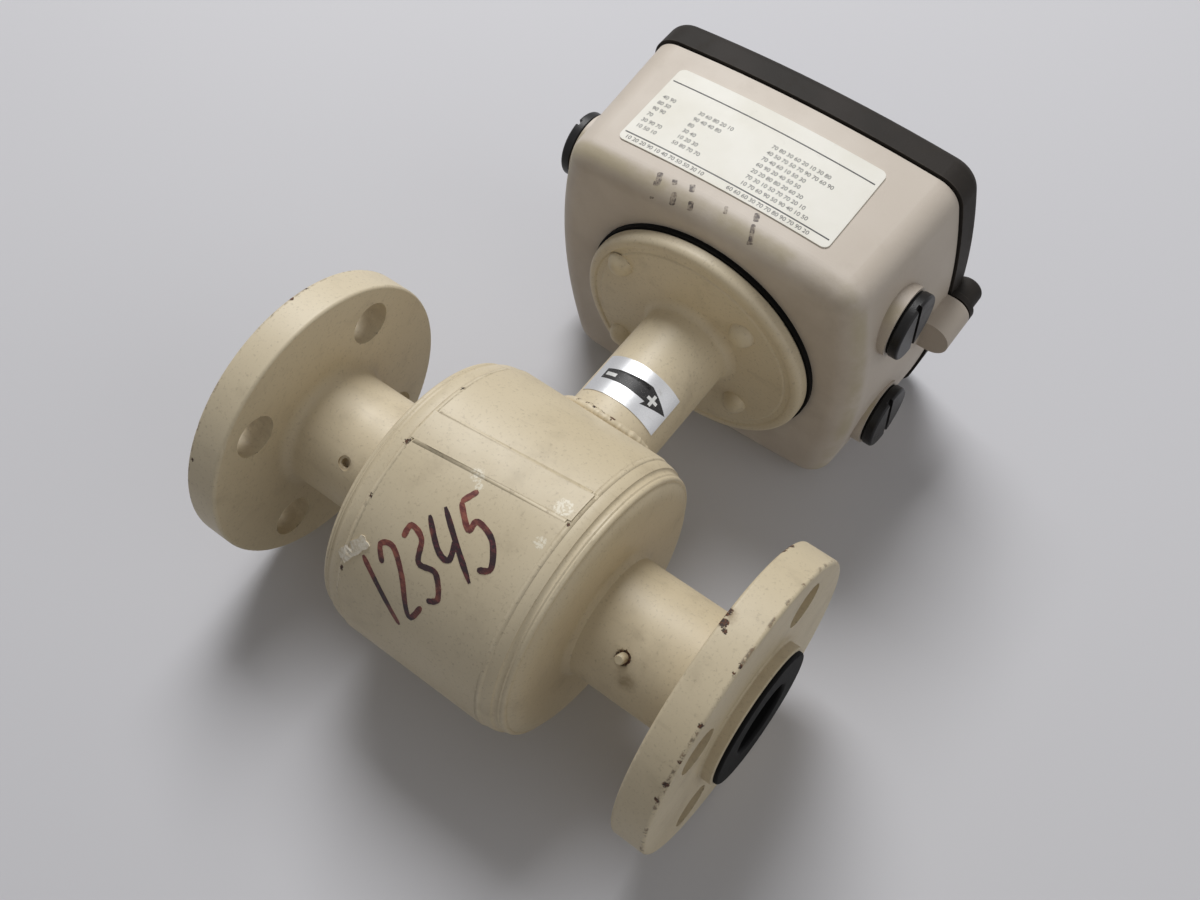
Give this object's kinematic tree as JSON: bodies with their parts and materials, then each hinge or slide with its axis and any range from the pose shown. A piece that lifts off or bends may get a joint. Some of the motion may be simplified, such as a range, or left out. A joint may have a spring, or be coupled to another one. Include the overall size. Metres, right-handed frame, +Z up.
{
  "type": "electromagnetic flow meter",
  "caption": "Flanged electromagnetic flow meter: a lined measuring tube in a round coil housing, with a neck that carries a square terminal box.",
  "frame": {"origin": "centre of the flow passage, half way between the two sealing faces", "axes": "+X along the flow passage in the direction of the flow arrow, +Z up the neck to the terminal box, -Y out of the labelled face of the box"},
  "size_m": [0.2, 0.1252, 0.2389],
  "materials": {
    "flange_paint": "cream paint, satin, chipped at the rims",
    "housing_paint": "cream paint, satin",
    "stainless": "fine turned stainless steel",
    "black_rubber": "hard black rubber, matt",
    "electrode_alloy": "polished corrosion-resistant alloy",
    "clear_polymer": "natural engineering plastic",
    "spring_steel": "bright spring steel",
    "magnet_steel": "soft magnetic steel, dull grey",
    "bobbin_plastic": "dark glass-filled plastic",
    "copper_winding": "enamelled copper wire",
    "box_plastic": "warm light grey moulded plastic, smudged",
    "lid_plastic": "charcoal moulded plastic",
    "plug_plastic": "black moulded plastic",
    "screw_paint": "cream paint over steel",
    "zinc_steel": "zinc-plated steel",
    "board_green": "green circuit board",
    "terminal_plastic": "dark green terminal plastic",
    "module_plastic": "black plastic",
    "label_film": "white printed film, satin",
    "label_foil": "silver foil, satin"
  },
  "bodies": {
    "root": {"flange_inlet": "flange_paint", "flange_outlet": "flange_paint", "earthing_pin": "screw_paint", "measuring_tube": "stainless", "liner": "black_rubber", "electrode_front": "electrode_alloy", "electrode_rear": "electrode_alloy", "electrode_bushes": "clear_polymer", "electrode_springs": "spring_steel", "electrode_nuts": "spring_steel", "pole_piece_upper": "magnet_steel", "pole_piece_lower": "magnet_steel", "coil_bobbin_upper": "bobbin_plastic", "coil_bobbin_lower": "bobbin_plastic", "coil_upper": "copper_winding", "coil_lower": "copper_winding", "magnetic_yoke": "magnet_steel", "housing_shell": "housing_paint", "housing_end_outlet": "housing_paint", "housing_end_inlet": "housing_paint", "neck_tube": "housing_paint", "mounting_disc": "housing_paint", "disc_gasket": "black_rubber", "disc_screws": "screw_paint", "terminal_box": "box_plastic", "lid_gasket": "black_rubber", "box_lid": "lid_plastic", "lid_screws": "zinc_steel", "plug_right_front": "plug_plastic", "plug_right_rear": "plug_plastic", "plug_left_front": "plug_plastic", "plug_left_rear": "plug_plastic", "plug_seals": "black_rubber", "plug_nuts": "plug_plastic", "lead_bushing": "bobbin_plastic", "connection_board": "board_green", "board_screws": "zinc_steel", "terminal_block_front": "terminal_plastic", "terminal_block_rear": "terminal_plastic", "memory_module": "module_plastic", "front_label": "label_film", "flow_label": "label_foil"}
  },
  "joints": []
}
